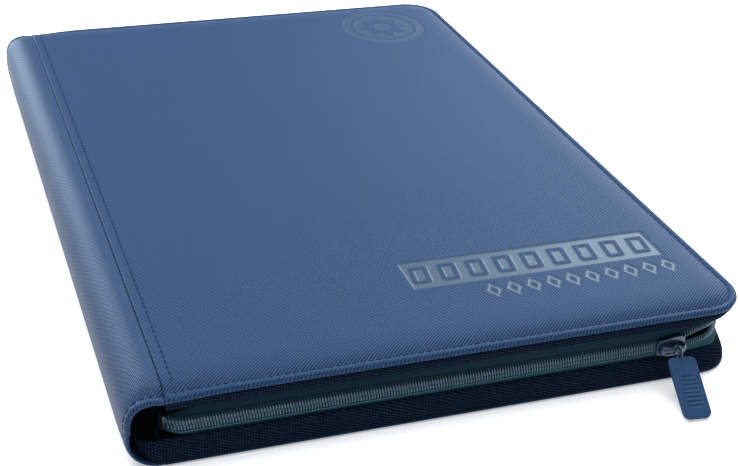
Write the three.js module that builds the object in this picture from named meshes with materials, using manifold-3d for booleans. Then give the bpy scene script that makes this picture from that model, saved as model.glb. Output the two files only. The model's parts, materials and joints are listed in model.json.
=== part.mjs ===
// A zip-around trading card binder: two padded covers joined by a soft U-shaped spine, twenty
// side-loading pocket pages, and a coil zip that runs round the three open sides.
//
// Frame, in millimetres: X from the spine to the opening edge, Y along the spine, Z up, with the
// origin in the middle of the rear cover's outer face, on which the binder lies.
import * as THREE from "three";
import { mergeVertices } from "three/addons/utils/BufferGeometryUtils.js";
import Module from "manifold-3d";

// ---- driving dimensions, mm ----
const WIDTH = 260; // spine to opening edge
const LENGTH = 350; // along the spine
const HEIGHT = 34; // outer face to outer face
const COVER_THICKNESS = 5;
const CORNER_RADIUS = 18; // in plan, at the opening edge
const SPINE_RADIUS = 14; // of the spine's two rounded corners
const SEAM_FROM_BACK = 15.4; // the spine's back to the folded edge of the covers
const GAP = 0.3; // between pieces that touch on the real binder
const ARC_STEPS = 10;

const SKIN = 1; // imitation leather with its backing
const RIM = 1.6; // turned edge of the skin round a cover
const FOAM = { thickness: 1.5, inset: 7 }; // it stops inside the stitched rim
const BOARD = 1.2;
const LINING = 0.5;
const SPINE_SKIN = 1.4;
const SPINE_BOARD = { thickness: 0.8, width: 7.6 };
const BINDING_WIDTH = 17;

const ZIP_HEIGHT = 16.5; // where the two chains meet
const CHAIN_SLOT = 2; // between the chains, where the slider's wedge runs
const CHAIN = { recess: 2, depth: 2.6, height: 2.2 };
const ZIP_TAPE = { recess: 3, thickness: 0.6 };
const EDGE_TAPE = { recess: 0.9, thickness: 1.2, front: 3.2, rear: 5.8 };
const ZIP_START_FROM_BACK = 21; // both chains and tapes start here, beside the spine
const ZIP_OPEN_FROM_BACK = 236; // from here on the zip is undone and its two sides part
const ZIP_PARTING = { run: 10, rise: 1.6 };

const LEAVES = 20;
const LEAF = { pitch: 1.1, thickness: 0.55, hinge: 6, from: 12, to: 247, length: 314 };

const SLIDER = { x: 224.2, width: 12.5, height: 9.6, plate: 1.3, back: 1 };
const WEDGE = { width: 6, height: 1.3 };
const BRIDGE = { width: 11.5, reach: 3.9, thickness: 1.2, strap: 4 };
const PULL_AXIS = { x: 225.2, before: 3.2 }; // the bridge strap's middle, before the covers' edge
const PULL_SWING = 0.575; // the puller leans down onto the surface the binder lies on
const LINK = { wire: 1.1, inner: 2.3, straight: 2 };
const TAB = { from: 2.7, to: 28.4, width: 11.4, shoulder: 3.2, thickness: 2, radius: 3.6, yaw: -0.16 };
const TAB_EYE = { from: 3.7, to: 6.6, width: 3.4, thickness: 1.6 };

// ---- places worked out from them ----
const BACK = -WIDTH / 2;
const EDGE = WIDTH / 2;
const NEAR = -LENGTH / 2;
const FAR = LENGTH / 2;
const SEAM = BACK + SEAM_FROM_BACK;
const ZIP_START = BACK + ZIP_START_FROM_BACK;
const ZIP_OPEN = BACK + ZIP_OPEN_FROM_BACK;

const wasm = await Module();
wasm.setup();

const binder = new THREE.Group();
const fabricBlue = { color: 0x35568a, roughness: 0.62, metalness: 0 };
const navy = { color: 0x10182f, roughness: 0.85, metalness: 0 };
const tapeTeal = { color: 0x16303f, roughness: 0.8, metalness: 0 };
const coilGrey = { color: 0x2b4656, roughness: 0.45, metalness: 0 };
const paint = { color: 0x1d3a5c, roughness: 0.35, metalness: 0.3 };
const tabBlue = { color: 0x2c4c86, roughness: 0.5, metalness: 0 };
const foamGrey = { color: 0xb9bcc0, roughness: 0.95, metalness: 0 };
const boardBrown = { color: 0x7b6a52, roughness: 0.9, metalness: 0 };
const filmBlack = { color: 0x14161a, roughness: 0.3, metalness: 0 };

function named(name, geometry, look) {
  const mesh = new THREE.Mesh(geometry, new THREE.MeshStandardMaterial(look));
  mesh.name = name;
  return mesh;
}

function add(name, geometry, look) {
  binder.add(named(name, geometry, look));
}

// ---- joining and cutting ----
function solid(geometry) {
  const loose = geometry.index ? geometry.toNonIndexed() : geometry;
  const bare = new THREE.BufferGeometry();
  bare.setAttribute("position", loose.getAttribute("position"));
  const merged = mergeVertices(bare, 1e-4);
  return new wasm.Manifold(
    new wasm.Mesh({
      numProp: 3,
      vertProperties: merged.attributes.position.array,
      triVerts: new Uint32Array(merged.index.array),
    }),
  );
}

function geometryOf(made) {
  const mesh = made.getMesh();
  const geometry = new THREE.BufferGeometry();
  geometry.setAttribute("position", new THREE.BufferAttribute(mesh.vertProperties, 3));
  geometry.setIndex(new THREE.BufferAttribute(mesh.triVerts, 1));
  return geometry;
}

function box(x0, y0, z0, x1, y1, z1) {
  const geometry = new THREE.BoxGeometry(x1 - x0, y1 - y0, z1 - z0).toNonIndexed();
  return geometry.translate((x0 + x1) / 2, (y0 + y1) / 2, (z0 + z1) / 2);
}

function extrude(shape, depth) {
  return new THREE.ExtrudeGeometry(shape, { depth, bevelEnabled: false, curveSegments: ARC_STEPS });
}

// ---- outlines in plan ----
// A cover's outline: square at the seam, rounded at the opening edge, everywhere inset by the same
// amount from the cover's outer edge except at the seam.
function coverOutline(inset, left) {
  const radius = CORNER_RADIUS - inset;
  const centre = { x: EDGE - CORNER_RADIUS, y: FAR - CORNER_RADIUS };
  const shape = new THREE.Shape();
  shape.moveTo(left, NEAR + inset);
  shape.lineTo(centre.x, NEAR + inset);
  shape.absarc(centre.x, -centre.y, radius, -Math.PI / 2, 0, false);
  shape.absarc(centre.x, centre.y, radius, 0, Math.PI / 2, false);
  shape.lineTo(left, FAR - inset);
  shape.closePath();
  return shape;
}

function slab(inset, left, z0, z1) {
  return extrude(coverOutline(inset, left), z1 - z0).translate(0, 0, z0);
}

// A wall that follows the three open sides of the cover, open at the spine.
function sideWall(recess, thickness, left, z0, z1) {
  const radius = CORNER_RADIUS - recess;
  const inner = radius - thickness;
  const centre = { x: EDGE - CORNER_RADIUS, y: FAR - CORNER_RADIUS };
  const shape = new THREE.Shape();
  shape.moveTo(left, NEAR + recess);
  shape.lineTo(centre.x, NEAR + recess);
  shape.absarc(centre.x, -centre.y, radius, -Math.PI / 2, 0, false);
  shape.absarc(centre.x, centre.y, radius, 0, Math.PI / 2, false);
  shape.lineTo(left, FAR - recess);
  shape.lineTo(left, FAR - recess - thickness);
  shape.absarc(centre.x, centre.y, inner, Math.PI / 2, 0, true);
  shape.absarc(centre.x, -centre.y, inner, 0, -Math.PI / 2, true);
  shape.lineTo(left, NEAR + recess + thickness);
  shape.closePath();
  return extrude(shape, z1 - z0).translate(0, 0, z0);
}

// ---- covers ----
// Each is built outside face down from z = 0; the front one is turned over onto the top.
function coverPieces(prefix, place) {
  const tray = solid(slab(0, SEAM, 0, COVER_THICKNESS)).subtract(
    solid(slab(RIM, SEAM + RIM, SKIN, COVER_THICKNESS + 1)),
  );
  const inset = RIM + GAP;
  const left = SEAM + inset;
  const foamTop = SKIN + GAP + FOAM.thickness;
  const boardTop = foamTop + GAP + BOARD;
  add(prefix + "_skin", place(geometryOf(tray)), fabricBlue);
  add(prefix + "_foam", place(slab(FOAM.inset, SEAM + FOAM.inset, SKIN + GAP, foamTop)), foamGrey);
  add(prefix + "_board", place(slab(inset, left, foamTop + GAP, boardTop)), boardBrown);
  const liningTop = COVER_THICKNESS;
  add(prefix + "_lining", place(slab(inset, left, liningTop - LINING, liningTop)), navy);
}

const leaveInPlace = (geometry) => geometry;
const turnOver = (geometry) => geometry.rotateX(Math.PI).translate(0, 0, HEIGHT);

// ---- spine ----
// Half of the spine's section, from the seam to the middle of the rounded corner or from there to
// the flat back, as a strip of constant thickness; angles run from the corner's centre.
function spineArc(shape, radius, centreZ, from, to, clockwise) {
  shape.absarc(BACK + SPINE_RADIUS, centreZ, radius, from, to, clockwise);
}

function alongSpine(shape) {
  return extrude(shape, LENGTH).rotateX(Math.PI / 2).translate(0, FAR, 0);
}

function rearSpineFold() {
  const shape = new THREE.Shape();
  const cut = GAP / 2 / SPINE_RADIUS;
  shape.moveTo(SEAM - GAP, 0);
  shape.lineTo(BACK + SPINE_RADIUS, 0);
  spineArc(shape, SPINE_RADIUS, SPINE_RADIUS, -Math.PI / 2, -0.75 * Math.PI + cut, true);
  spineArc(shape, SPINE_RADIUS - SPINE_SKIN, SPINE_RADIUS, -0.75 * Math.PI + cut, -Math.PI / 2, false);
  shape.lineTo(SEAM - GAP, SPINE_SKIN);
  shape.closePath();
  return alongSpine(shape);
}

function spinePanel() {
  const shape = new THREE.Shape();
  const cut = GAP / 2 / SPINE_RADIUS;
  const low = SPINE_RADIUS;
  const high = HEIGHT - SPINE_RADIUS;
  const inner = SPINE_RADIUS - SPINE_SKIN;
  spineArc(shape, SPINE_RADIUS, low, -0.75 * Math.PI - cut, -Math.PI, true);
  spineArc(shape, SPINE_RADIUS, high, Math.PI, 0.75 * Math.PI + cut, true);
  spineArc(shape, inner, high, 0.75 * Math.PI + cut, Math.PI, false);
  spineArc(shape, inner, low, -Math.PI, -0.75 * Math.PI - cut, false);
  shape.closePath();
  return alongSpine(shape);
}

function spineBoard() {
  const left = BACK + SPINE_SKIN + GAP;
  const half = SPINE_BOARD.width / 2;
  const middle = HEIGHT / 2;
  const right = left + SPINE_BOARD.thickness;
  return box(left, NEAR + 2, middle - half, right, FAR - 2, middle + half);
}

// The pages' root edges are welded to this strip, which is sewn to the spine.
function bindingStrip() {
  const left = BACK + SPINE_SKIN + SPINE_BOARD.thickness + 2 * GAP;
  const leafSpan = LEAF.length / 2;
  const middle = HEIGHT / 2;
  const half = BINDING_WIDTH / 2;
  const right = BACK + LEAF.hinge - GAP;
  return box(left, -leafSpan, middle - half, right, leafSpan, middle + half);
}

// ---- pages ----
function leafHeight(index) {
  return HEIGHT / 2 + (index - (LEAVES - 1) / 2) * LEAF.pitch;
}

function addLeaves() {
  for (let index = 0; index < LEAVES; index += 1) {
    const middle = leafHeight(index);
    const half = LEAF.thickness / 2;
    const span = LEAF.length / 2;
    const leaf = box(BACK + LEAF.from, -span, middle - half, BACK + LEAF.to, span, middle + half);
    add("leaf_" + String(index + 1).padStart(2, "0"), leaf, filmBlack);
  }
}

// ---- zip ----
// Past the slider the zip is undone: its two sides spread, one up and one down.
function parted(geometry, direction) {
  const place = geometry.getAttribute("position");
  for (let i = 0; i < place.count; i += 1) {
    const along = (place.getX(i) - ZIP_OPEN) / ZIP_PARTING.run;
    const nearSide = place.getY(i) < NEAR + CORNER_RADIUS;
    const share = nearSide ? Math.min(Math.max(along, 0), 1) : 1;
    place.setZ(i, place.getZ(i) + direction * ZIP_PARTING.rise * share);
  }
  return geometry;
}

// A wall round the undone part of the zip, from the slider's side round to the far end.
function undoneWall(recess, thickness, z0, z1) {
  const radius = CORNER_RADIUS - recess;
  const inner = radius - thickness;
  const centre = { x: EDGE - CORNER_RADIUS, y: FAR - CORNER_RADIUS };
  const shape = new THREE.Shape();
  shape.moveTo(ZIP_OPEN, NEAR + recess);
  shape.lineTo(centre.x, NEAR + recess);
  shape.absarc(centre.x, -centre.y, radius, -Math.PI / 2, 0, false);
  shape.absarc(centre.x, centre.y, radius, 0, Math.PI / 2, false);
  shape.lineTo(ZIP_START, FAR - recess);
  shape.lineTo(ZIP_START, FAR - recess - thickness);
  shape.absarc(centre.x, centre.y, inner, Math.PI / 2, 0, true);
  shape.absarc(centre.x, -centre.y, inner, 0, -Math.PI / 2, true);
  shape.lineTo(ZIP_OPEN, NEAR + recess + thickness);
  shape.closePath();
  return extrude(shape, z1 - z0).translate(0, 0, z0);
}

// One chain: straight while it is closed, then parted by the given direction.
function chain(z0, z1, direction) {
  const y0 = NEAR + CHAIN.recess;
  const closed = solid(box(ZIP_START, y0, z0, ZIP_OPEN + GAP, y0 + CHAIN.depth, z1));
  const undone = solid(parted(undoneWall(CHAIN.recess, CHAIN.depth, z0, z1), direction));
  return geometryOf(closed.add(undone));
}

function addZip() {
  const lowerTop = ZIP_HEIGHT - CHAIN_SLOT / 2;
  const upperBottom = ZIP_HEIGHT + CHAIN_SLOT / 2;
  const lowerBottom = lowerTop - CHAIN.height;
  const upperTop = upperBottom + CHAIN.height;
  const lining = COVER_THICKNESS + GAP;
  add("lower_zip_coil", chain(lowerBottom, lowerTop, -1), coilGrey);
  add("upper_zip_coil", chain(upperBottom, upperTop, 1), coilGrey);
  const tape = (z0, z1) => sideWall(ZIP_TAPE.recess, ZIP_TAPE.thickness, ZIP_START, z0, z1);
  const clear = ZIP_PARTING.rise + GAP;
  add("lower_zip_tape", tape(lining, lowerBottom - clear), tapeTeal);
  add("upper_zip_tape", tape(upperTop + clear, HEIGHT - lining), tapeTeal);
}

function addEdgeTapes() {
  const bottom = COVER_THICKNESS + GAP;
  const top = HEIGHT - COVER_THICKNESS - GAP;
  const wall = (z0, z1) => sideWall(EDGE_TAPE.recess, EDGE_TAPE.thickness, SEAM + GAP, z0, z1);
  add("rear_edge_tape", wall(bottom, bottom + EDGE_TAPE.rear), navy);
  add("front_edge_tape", wall(top - EDGE_TAPE.front, top), navy);
}

// Small clamps at the ends of the chains keep the slider on.
function addStops() {
  const width = 2.4;
  const right = ZIP_START - 2 * GAP;
  const left = right - width;
  const y0 = NEAR + CHAIN.recess;
  const y1 = y0 + CHAIN.depth;
  const low = ZIP_HEIGHT - CHAIN_SLOT / 2 - CHAIN.height;
  const high = ZIP_HEIGHT + CHAIN_SLOT / 2 + CHAIN.height;
  add("zip_bottom_stop", box(left, y0, low, right, y1, high), paint);
  const rise = ZIP_PARTING.rise;
  const lowTop = low + CHAIN.height - rise;
  const highBottom = high - CHAIN.height + rise;
  add("lower_zip_top_stop", box(left, -y1, low - rise, right, -y0, lowTop), paint);
  add("upper_zip_top_stop", box(left, -y1, highBottom, right, -y0, high + rise), paint);
}

// ---- slider and puller ----
function sliderOutline() {
  const half = SLIDER.width / 2;
  const low = -SLIDER.height / 2;
  const high = SLIDER.height / 2;
  const shape = new THREE.Shape();
  shape.moveTo(-half + 1.5, low);
  shape.lineTo(half - 2, low);
  shape.quadraticCurveTo(half, low, half, low + 2);
  shape.lineTo(half, high - 2);
  shape.quadraticCurveTo(half, high, half - 2, high);
  shape.lineTo(-half + 1.5, high - 1.2);
  shape.quadraticCurveTo(-half, high - 1.6, -half, high - 3);
  shape.lineTo(-half, low + 1.5);
  shape.quadraticCurveTo(-half, low, -half + 1.5, low);
  shape.closePath();
  return shape;
}

// An outline in X and Z, standing on the near side: its front face at y, its thickness going in.
function facing(shape, y, thickness) {
  return extrude(shape, thickness).rotateX(Math.PI / 2).translate(0, y + thickness, 0);
}

function sliderBody() {
  const frontY = NEAR + CHAIN.recess - GAP - SLIDER.plate;
  const backY = NEAR + CHAIN.recess + CHAIN.depth + GAP;
  const front = solid(facing(sliderOutline(), frontY, SLIDER.plate));
  const back = solid(facing(sliderOutline(), backY, SLIDER.back));
  const half = WEDGE.width / 2;
  const tall = WEDGE.height / 2;
  const wedgeX = SLIDER.width / 2 - half - 0.5;
  const wedge = new THREE.Shape();
  wedge.moveTo(wedgeX - half, 0);
  wedge.lineTo(wedgeX - half / 3, -tall);
  wedge.lineTo(wedgeX + half, -tall);
  wedge.lineTo(wedgeX + half, tall);
  wedge.lineTo(wedgeX - half / 3, tall);
  wedge.closePath();
  const post = solid(facing(wedge, frontY + 0.5, backY - frontY + 0.1));
  const low = -SLIDER.height / 2;
  const flangeTop = low + 0.7;
  const flangeY = NEAR + ZIP_TAPE.recess - GAP;
  const flange = solid(box(-4, frontY + 0.5, low, 4, flangeY, flangeTop));
  return front.add(back).add(post).add(flange);
}

// The humped strap over the slider's front plate, under which the puller's loop runs.
function sliderBridge() {
  const half = BRIDGE.width / 2;
  const foot = 2.2;
  const inner = BRIDGE.reach - BRIDGE.thickness;
  const shape = new THREE.Shape();
  shape.moveTo(-half, 0);
  shape.bezierCurveTo(-half, BRIDGE.reach * 0.9, -half * 0.5, BRIDGE.reach, 0, BRIDGE.reach);
  shape.bezierCurveTo(half * 0.5, BRIDGE.reach, half, BRIDGE.reach * 0.9, half, 0);
  shape.lineTo(half - foot * 0.8, 0);
  shape.bezierCurveTo(half - foot * 0.8, inner * 0.9, half * 0.4, inner, 0, inner);
  shape.bezierCurveTo(-half * 0.4, inner, -half + foot * 0.8, inner * 0.9, -half + foot * 0.8, 0);
  shape.closePath();
  return extrude(shape, BRIDGE.strap).translate(0, 0, -BRIDGE.strap / 2);
}

// The puller's own frame: its pivot at the origin, its length along -Y, its thickness along Z.
// The link is a wire loop round the bridge's strap, standing across the tab.
function pullLink() {
  const outer = LINK.inner + LINK.wire;
  const loop = (radius) => {
    const shape = new THREE.Shape();
    shape.absarc(0, 0, radius, 0, Math.PI, false);
    shape.absarc(0, -LINK.straight, radius, Math.PI, 2 * Math.PI, false);
    shape.closePath();
    return shape;
  };
  const shape = loop(outer);
  shape.holes.push(loop(LINK.inner));
  return extrude(shape, LINK.wire).translate(0, 0, -LINK.wire / 2).rotateY(Math.PI / 2);
}

function tabOutline() {
  const half = TAB.width / 2;
  const turn = TAB.radius;
  const shape = new THREE.Shape();
  shape.moveTo(-TAB.shoulder, -TAB.from);
  shape.lineTo(TAB.shoulder, -TAB.from);
  shape.quadraticCurveTo(half, -TAB.from, half, -TAB.from - TAB.shoulder);
  shape.absarc(half - turn, -TAB.to + turn, turn, 0, -Math.PI / 2, true);
  shape.absarc(-half + turn, -TAB.to + turn, turn, -Math.PI / 2, -Math.PI, true);
  shape.lineTo(-half, -TAB.from - TAB.shoulder);
  shape.quadraticCurveTo(-half, -TAB.from, -TAB.shoulder, -TAB.from);
  return shape;
}

// The tab thins towards its eye, through which the link's far end runs.
function pullTab() {
  const shape = tabOutline();
  const full = solid(extrude(shape, TAB.thickness).translate(0, 0, -TAB.thickness / 2));
  const half = TAB_EYE.width / 2;
  const tall = TAB.thickness;
  const eye = solid(box(-half, -TAB_EYE.to, -tall, half, -TAB_EYE.from, tall));
  const side = TAB.width;
  const thin = TAB_EYE.thickness / 2;
  const above = solid(box(-side, -TAB_EYE.to, thin, side, 0, tall));
  const below = solid(box(-side, -TAB_EYE.to, -tall, side, 0, -thin));
  const made = geometryOf(full.subtract(eye).subtract(above).subtract(below));
  const pivot = LINK.straight + LINK.inner + LINK.wire / 2;
  return made.translate(0, pivot, 0).rotateZ(TAB.yaw).translate(0, -pivot, 0);
}

function addSliderAndPull() {
  const slider = new THREE.Group();
  slider.position.set(BACK + SLIDER.x, 0, ZIP_HEIGHT);
  binder.add(slider);
  slider.add(named("slider_body", geometryOf(sliderBody()), paint));
  const bridge = named("slider_bridge", sliderBridge(), paint);
  const plateFront = NEAR + CHAIN.recess - GAP - SLIDER.plate;
  bridge.position.set(PULL_AXIS.x - SLIDER.x - 1, plateFront - GAP, 0);
  bridge.rotation.set(0, 0, Math.PI);
  slider.add(bridge);

  const puller = new THREE.Group();
  puller.position.set(BACK + PULL_AXIS.x, NEAR - PULL_AXIS.before, ZIP_HEIGHT);
  puller.rotation.set(PULL_SWING, 0, 0);
  binder.add(puller);
  puller.add(named("pull_link", pullLink(), paint));
  puller.add(named("pull_tab", pullTab(), tabBlue));
}

coverPieces("rear_cover", leaveInPlace);
coverPieces("front_cover", turnOver);
add("rear_spine_fold", rearSpineFold(), fabricBlue);
add("front_spine_fold", turnOver(rearSpineFold()), fabricBlue);
add("spine_panel", spinePanel(), fabricBlue);
add("spine_board", spineBoard(), boardBrown);
add("page_binding_strip", bindingStrip(), filmBlack);
addLeaves();
addEdgeTapes();
addZip();
addStops();
addSliderAndPull();

export default binder;
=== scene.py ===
"""The looks of a zip-around trading card binder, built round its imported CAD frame."""

import json
import math

import bmesh
import bpy
import numpy as np
from mathutils import Matrix, Vector


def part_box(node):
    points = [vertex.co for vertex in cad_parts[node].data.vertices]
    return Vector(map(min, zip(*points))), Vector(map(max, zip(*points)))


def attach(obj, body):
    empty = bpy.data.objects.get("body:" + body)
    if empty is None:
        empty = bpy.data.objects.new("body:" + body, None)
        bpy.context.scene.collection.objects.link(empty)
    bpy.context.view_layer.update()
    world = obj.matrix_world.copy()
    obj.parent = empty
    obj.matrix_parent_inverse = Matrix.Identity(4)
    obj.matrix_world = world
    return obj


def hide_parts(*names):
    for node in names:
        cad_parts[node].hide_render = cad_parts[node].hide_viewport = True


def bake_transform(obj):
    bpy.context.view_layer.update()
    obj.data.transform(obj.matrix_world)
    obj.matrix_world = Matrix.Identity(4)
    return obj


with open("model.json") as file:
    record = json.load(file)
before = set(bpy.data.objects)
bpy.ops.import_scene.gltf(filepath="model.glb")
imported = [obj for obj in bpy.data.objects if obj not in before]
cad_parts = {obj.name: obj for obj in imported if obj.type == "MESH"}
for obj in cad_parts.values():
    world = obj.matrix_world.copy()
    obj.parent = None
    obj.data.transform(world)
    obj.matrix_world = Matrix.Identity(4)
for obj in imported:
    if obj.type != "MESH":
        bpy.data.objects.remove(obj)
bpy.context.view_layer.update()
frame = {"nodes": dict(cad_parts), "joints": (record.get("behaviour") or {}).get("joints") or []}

MM = 0.001
SEED = 7

# ---- sizes taken from the frame, in millimetres ----


def box_mm(node):
    """The low and high corners of a node's box."""
    low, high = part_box(node)
    return np.array(low) / MM, np.array(high) / MM


FRONT_LOW, FRONT_HIGH = box_mm("front_cover_skin")
SEAM, EDGE = FRONT_LOW[0], FRONT_HIGH[0]
NEAR, FAR = FRONT_LOW[1], FRONT_HIGH[1]
TOP = FRONT_HIGH[2]
BACK = box_mm("spine_panel")[0][0]
SLIDER_LOW, SLIDER_HIGH = box_mm("slider_body")
SLIDER_X, _, ZIP_Z = (SLIDER_LOW + SLIDER_HIGH) / 2
CORNER = 18.0  # outer radius of the covers' corners
SPINE_R = 14.0  # and of the spine's two bends


def joint(name):
    return next(j for j in frame["joints"] if j["name"] == name)


# ---- mesh helpers ----


def mesh_piece(name, points, faces, material, body=None, weave=None, smooth=True, fix=True):
    """A mesh object from points in mm. weave says where each point lies on the cloth, (x, y) in mm."""
    mesh = bpy.data.meshes.new(name)
    mesh.from_pydata((np.asarray(points) * MM).tolist(), [], faces)
    if weave is not None:
        layer = mesh.attributes.new("weave", "FLOAT_VECTOR", "POINT")
        flat = np.zeros((len(points), 3), np.float32)
        flat[:, :2] = np.reshape(weave, (-1, 2))
        layer.data.foreach_set("vector", flat.ravel())
    if fix:
        work = bmesh.new()
        work.from_mesh(mesh)
        bmesh.ops.recalc_face_normals(work, faces=work.faces)
        work.to_mesh(mesh)
        work.free()
    mesh.polygons.foreach_set("use_smooth", [smooth] * len(mesh.polygons))
    mesh.materials.append(material)
    piece = bpy.data.objects.new(name, mesh)
    bpy.context.scene.collection.objects.link(piece)
    if body:
        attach(piece, body)
    return piece


def point_values(piece, name, values):
    """Gives each point of a piece a number that its material reads."""
    layer = piece.data.attributes.new(name, "FLOAT", "POINT")
    layer.data.foreach_set("value", np.asarray(values, np.float32).ravel())


def sharpen(piece, degrees=60):
    """Edges steeper than this stay crisp."""
    mesh = piece.data
    work = bmesh.new()
    work.from_mesh(mesh)
    limit = math.radians(degrees)
    for edge in work.edges:
        if len(edge.link_faces) == 2 and edge.calc_face_angle(0) > limit:
            edge.smooth = False
    work.to_mesh(mesh)
    work.free()


def bevel(piece, width, segments, degrees=35):
    """Rounds the edges that are steeper than this, by a width in mm."""
    modifier = piece.modifiers.new("soft edges", "BEVEL")
    modifier.width = width * MM
    modifier.segments = segments
    modifier.limit_method = "ANGLE"
    modifier.angle_limit = math.radians(degrees)


def smoothstep(value, low, high):
    """0 at low and 1 at high, with soft ends; high may be the smaller."""
    share = np.clip((value - low) / (high - low), 0, 1)
    return share * share * (3 - 2 * share)


def grid_faces(rows, columns, ring=False):
    """Quads of a rows x columns grid of points; a ring joins the last column to the first."""
    faces = []
    for r in range(rows - 1):
        for c in range(columns if ring else columns - 1):
            d = (c + 1) % columns
            faces.append((r * columns + c, r * columns + d, (r + 1) * columns + d, (r + 1) * columns + c))
    return faces


def sweep(points, capped=True):
    """Flat points and faces of a (stations, section, 3) array: a closed section swept along a line."""
    stations, section = points.shape[:2]
    faces = grid_faces(stations, section, True)
    if capped:
        faces.append(tuple(range(section)))
        faces.append(tuple((stations - 1) * section + c for c in range(section)))
    return points.reshape(-1, 3), faces


def join_parts(parts):
    """One list of points and one of faces out of several (points, faces)."""
    points, faces, start = [], [], 0
    for some, around in parts:
        points.append(np.asarray(some, float))
        faces += [tuple(v + start for v in face) for face in around]
        start += len(some)
    return np.concatenate(points), faces


def two_sheets(first, second):
    """A closed body between two grids of points of the same size."""
    rows, columns = first.shape[:2]
    total = rows * columns
    faces = grid_faces(rows, columns)
    faces += [tuple(v + total for v in reversed(face)) for face in grid_faces(rows, columns)]
    ends = [(r * columns + c, (r + 1) * columns + c) for r in range(rows - 1) for c in (0, columns - 1)]
    ends += [(r * columns + c, r * columns + c + 1) for c in range(columns - 1) for r in (0, rows - 1)]
    faces += [(a, b, b + total, a + total) for a, b in ends]
    return np.concatenate([first.reshape(-1, 3), second.reshape(-1, 3)]), faces


class Wall:
    """The line round the three free sides of a cover, at a recess from its outer edge."""

    def __init__(self, start, recess=0.0):
        self.start = start
        self.radius = CORNER - recess
        self.centre_x = EDGE - CORNER
        self.centre_y = FAR - CORNER
        self.run = self.centre_x - start
        self.arc = math.pi / 2 * self.radius
        self.side = 2 * self.centre_y
        self.length = 2 * self.run + 2 * self.arc + self.side

    def at(self, s):
        """Points and outward directions at distances s along the line, from the near end by the spine."""
        stops = np.cumsum([0, self.run, self.arc, self.side, self.arc, self.run])
        start, x, y, quarter = self.start, self.centre_x, self.centre_y, math.pi / 2
        angle = np.interp(s, stops, [-quarter, -quarter, 0, 0, quarter, quarter])
        middle_x = np.interp(s, stops, [start, x, x, x, x, start])
        middle_y = np.interp(s, stops, [-y, -y, -y, y, y, y])
        outward = np.stack([np.cos(angle), np.sin(angle)], -1)
        return np.stack([middle_x, middle_y], -1) + outward * self.radius, outward


def along_wall(wall, s, depth, height):
    """Points a depth inside the wall line, at a height; s, depth and height broadcast together."""
    s, depth, height = np.broadcast_arrays(s, depth, height)
    place, outward = wall.at(s)
    flat = place - outward * depth[..., None]
    return np.concatenate([flat, height[..., None]], -1)


def along_directions(wall, s):
    """Level directions along the wall line."""
    _, outward = wall.at(s)
    return np.stack([-outward[:, 1], outward[:, 0], np.zeros(len(s))], -1)


# ---- materials ----


class Nodes:
    """A node material written as short calls."""

    def __init__(self, name):
        self.material = bpy.data.materials.new(name)
        self.material.use_nodes = True
        self.tree = self.material.node_tree
        self.shader = self.tree.nodes["Principled BSDF"]

    def add(self, kind, inputs=None, **settings):
        node = self.tree.nodes.new(kind)
        for key, value in settings.items():
            setattr(node, key, value)
        for key, value in (inputs or {}).items():
            self.feed(node.inputs[key], value)
        return node

    def feed(self, socket, value):
        if isinstance(value, bpy.types.NodeSocket):
            self.tree.links.new(value, socket)
        else:
            socket.default_value = value

    def set(self, **values):
        """Feeds the shader's inputs, named with _ for a space. A number goes straight on the socket."""
        for key, value in values.items():
            self.feed(self.shader.inputs[key.replace("_", " ")], value)
        return self.material

    def layer(self, name, output="Fac"):
        return self.add("ShaderNodeAttribute", attribute_name=name).outputs[output]

    def place(self):
        """Where a point lies on its cloth, in mm."""
        return self.layer("weave", "Vector")

    def body_place(self):
        """Where a point lies in the object, in metres."""
        return self.add("ShaderNodeTexCoord").outputs["Object"]

    def scaled(self, vector, scale, turn=0.0):
        values = {"Vector": vector, "Scale": scale, "Rotation": (0, 0, turn)}
        return self.add("ShaderNodeMapping", values).outputs["Vector"]

    def turned(self, vector, degrees):
        return self.scaled(vector, (1, 1, 1), math.radians(degrees))

    def noise(self, vector, scale, detail=3.0, rough=0.5):
        values = {"Vector": vector, "Scale": scale, "Detail": detail, "Roughness": rough}
        return self.add("ShaderNodeTexNoise", values).outputs["Fac"]

    def wave(self, vector, scale, direction, distortion=0.0):
        values = {"Vector": vector, "Scale": scale, "Distortion": distortion}
        return self.add("ShaderNodeTexWave", values, bands_direction=direction).outputs["Fac"]

    def maths(self, operation, *values):
        node = self.add("ShaderNodeMath", operation=operation)
        for socket, value in zip(node.inputs, values):
            self.feed(socket, value)
        return node.outputs[0]

    def mix(self, factor, a, b, kind="RGBA"):
        """A blend of two colours, vectors or plain numbers, by kind."""
        node = self.add("ShaderNodeMix", data_type=kind)
        used = [s for s in node.inputs if s.enabled]
        for socket, value in zip(used, (factor, a, b)):
            self.feed(socket, (*value, 1) if isinstance(value, tuple) else value)
        return next(s for s in node.outputs if s.enabled)

    def range(self, factor, low, high):
        """Takes 0 to 1 onto low to high."""
        return self.add("ShaderNodeMapRange", {"Value": factor, "To Min": low, "To Max": high}).outputs[0]

    def bump(self, height, depth_mm, strength=1.0, after=None):
        values = {"Height": height, "Distance": depth_mm * MM, "Strength": strength}
        if after is not None:
            values["Normal"] = after
        return self.add("ShaderNodeBump", values).outputs["Normal"]


WAVE_PERIOD = 2 * math.pi / 20  # of a wave texture at scale 1


def bands(nodes, vector, pitch, direction="X", distortion=0.0):
    """Bands of a given pitch in mm, on coordinates in mm."""
    return nodes.wave(vector, WAVE_PERIOD / pitch, direction, distortion)


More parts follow.
